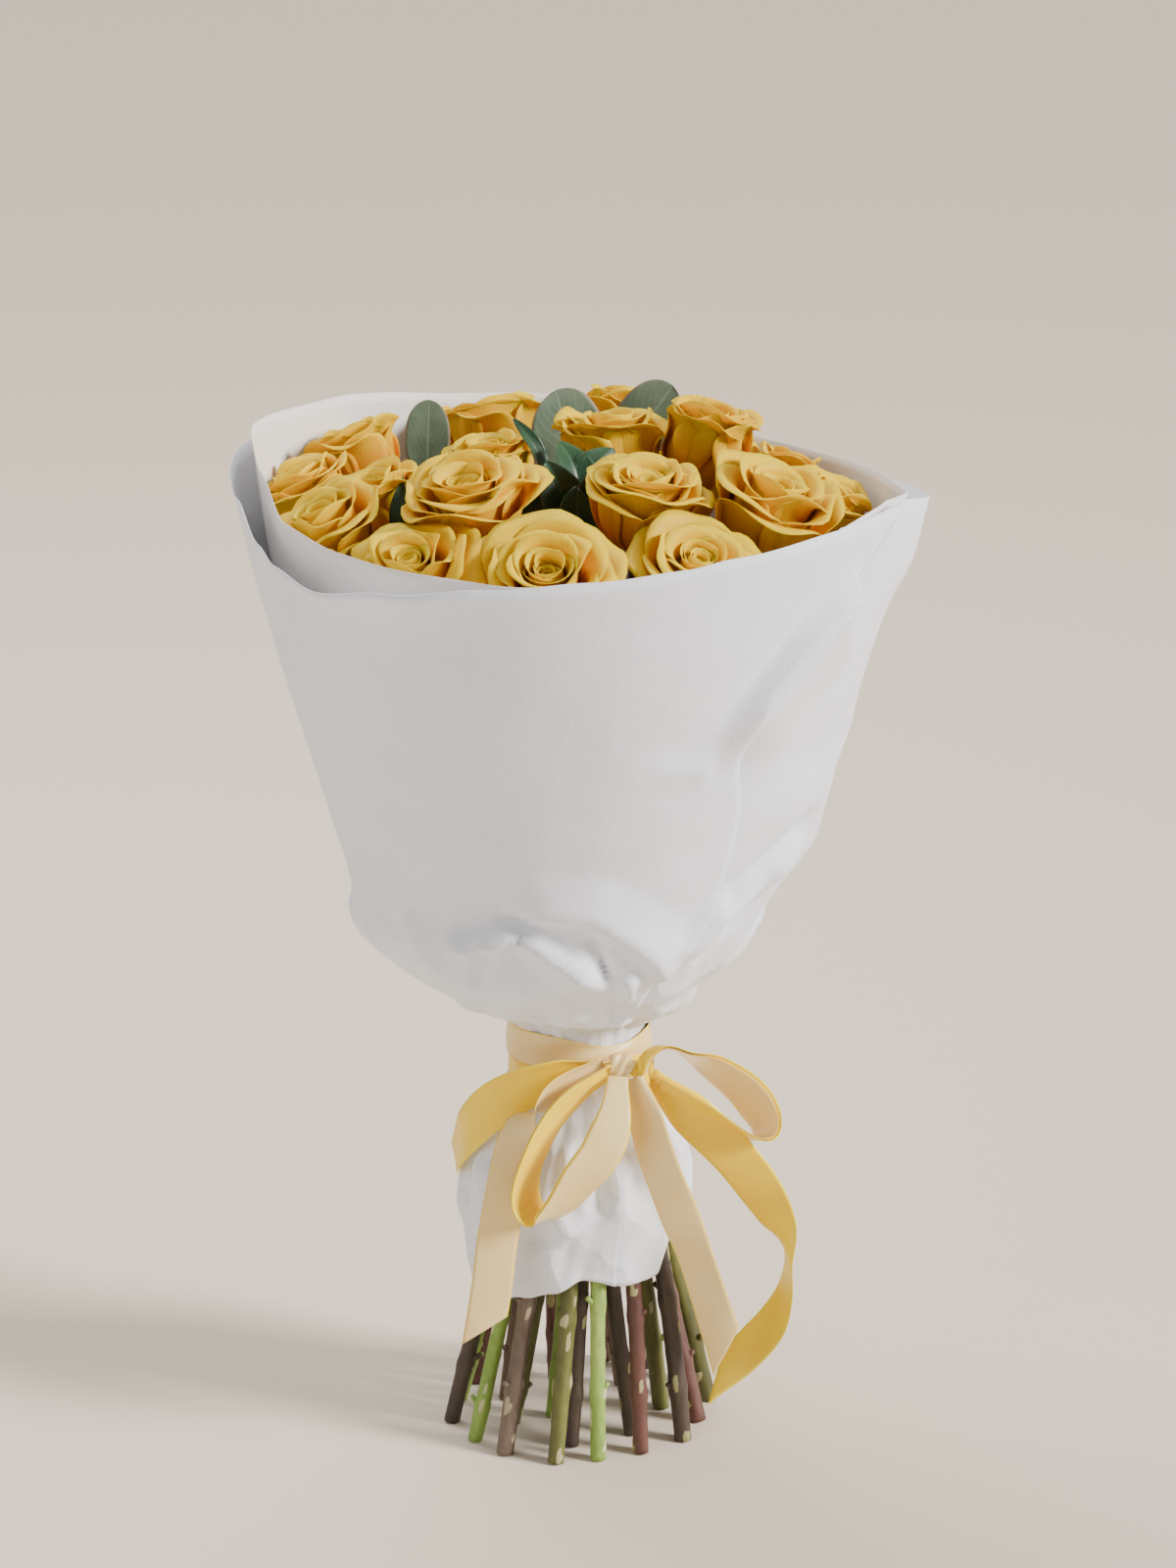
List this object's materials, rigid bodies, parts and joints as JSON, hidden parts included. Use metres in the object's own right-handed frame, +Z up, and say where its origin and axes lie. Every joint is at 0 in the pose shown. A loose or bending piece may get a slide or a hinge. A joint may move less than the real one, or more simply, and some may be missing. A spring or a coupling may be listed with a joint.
{
  "type": "bouquet of roses",
  "caption": "Hand-tied bouquet of yellow roses with eucalyptus and foliage, in a flared paper wrap with a satin ribbon bow, standing on its cut stems.",
  "frame": {"origin": "middle of the bouquet's box, on the surface that the cut stems stand on", "axes": "+Z up along the bunch, -Y towards the side with the bow, +X to the right of the bow"},
  "size_m": [0.357, 0.3356, 0.5726],
  "materials": {
    "rose_petal": "soft, matt",
    "rose_bark": "matt",
    "eucalyptus_bark": "matt",
    "eucalyptus_leaf": "waxy, matt",
    "foliage_green": "satin",
    "wrap_paper": "matt",
    "twine": "matt",
    "cream_satin": "satin",
    "yellow_satin": "satin"
  },
  "bodies": {
    "root": {"rose_stem_01": "rose_bark", "rose_stem_02": "rose_bark", "rose_stem_03": "rose_bark", "rose_stem_04": "rose_bark", "rose_stem_05": "rose_bark", "rose_stem_06": "rose_bark", "rose_stem_07": "rose_bark", "rose_stem_08": "rose_bark", "rose_stem_09": "rose_bark", "rose_stem_10": "rose_bark", "rose_stem_11": "rose_bark", "rose_stem_12": "rose_bark", "rose_stem_13": "rose_bark", "rose_stem_14": "rose_bark", "rose_stem_15": "rose_bark", "rose_stem_16": "rose_bark", "rose_stem_17": "rose_bark", "rose_stem_18": "rose_bark", "rose_stem_19": "rose_bark", "rose_bloom_01": "rose_petal", "rose_bloom_02": "rose_petal", "rose_bloom_03": "rose_petal", "rose_bloom_04": "rose_petal", "rose_bloom_05": "rose_petal", "rose_bloom_06": "rose_petal", "rose_bloom_07": "rose_petal", "rose_bloom_08": "rose_petal", "rose_bloom_09": "rose_petal", "rose_bloom_10": "rose_petal", "rose_bloom_11": "rose_petal", "rose_bloom_12": "rose_petal", "rose_bloom_13": "rose_petal", "rose_bloom_14": "rose_petal", "rose_bloom_15": "rose_petal", "rose_bloom_16": "rose_petal", "rose_bloom_17": "rose_petal", "rose_bloom_18": "rose_petal", "rose_bloom_19": "rose_petal", "eucalyptus_stem_1": "eucalyptus_bark", "eucalyptus_stem_2": "eucalyptus_bark", "eucalyptus_stem_3": "eucalyptus_bark", "eucalyptus_leaf_1": "eucalyptus_leaf", "eucalyptus_leaf_2": "eucalyptus_leaf", "eucalyptus_leaf_3": "eucalyptus_leaf", "eucalyptus_leaf_4": "eucalyptus_leaf", "eucalyptus_leaf_5": "eucalyptus_leaf", "foliage_sprig_1": "foliage_green", "foliage_sprig_2": "foliage_green", "wrap_outer_sheet": "wrap_paper", "wrap_inner_sheet": "wrap_paper", "binding_twine": "twine", "ribbon_band_cream": "cream_satin", "ribbon_band_yellow": "yellow_satin", "bow_knot": "yellow_satin", "bow_loop_left": "cream_satin", "bow_loop_right": "yellow_satin", "tail_cream_left": "cream_satin", "tail_cream_right": "cream_satin", "tail_yellow_right": "yellow_satin", "tail_yellow_left": "yellow_satin"}
  },
  "joints": []
}
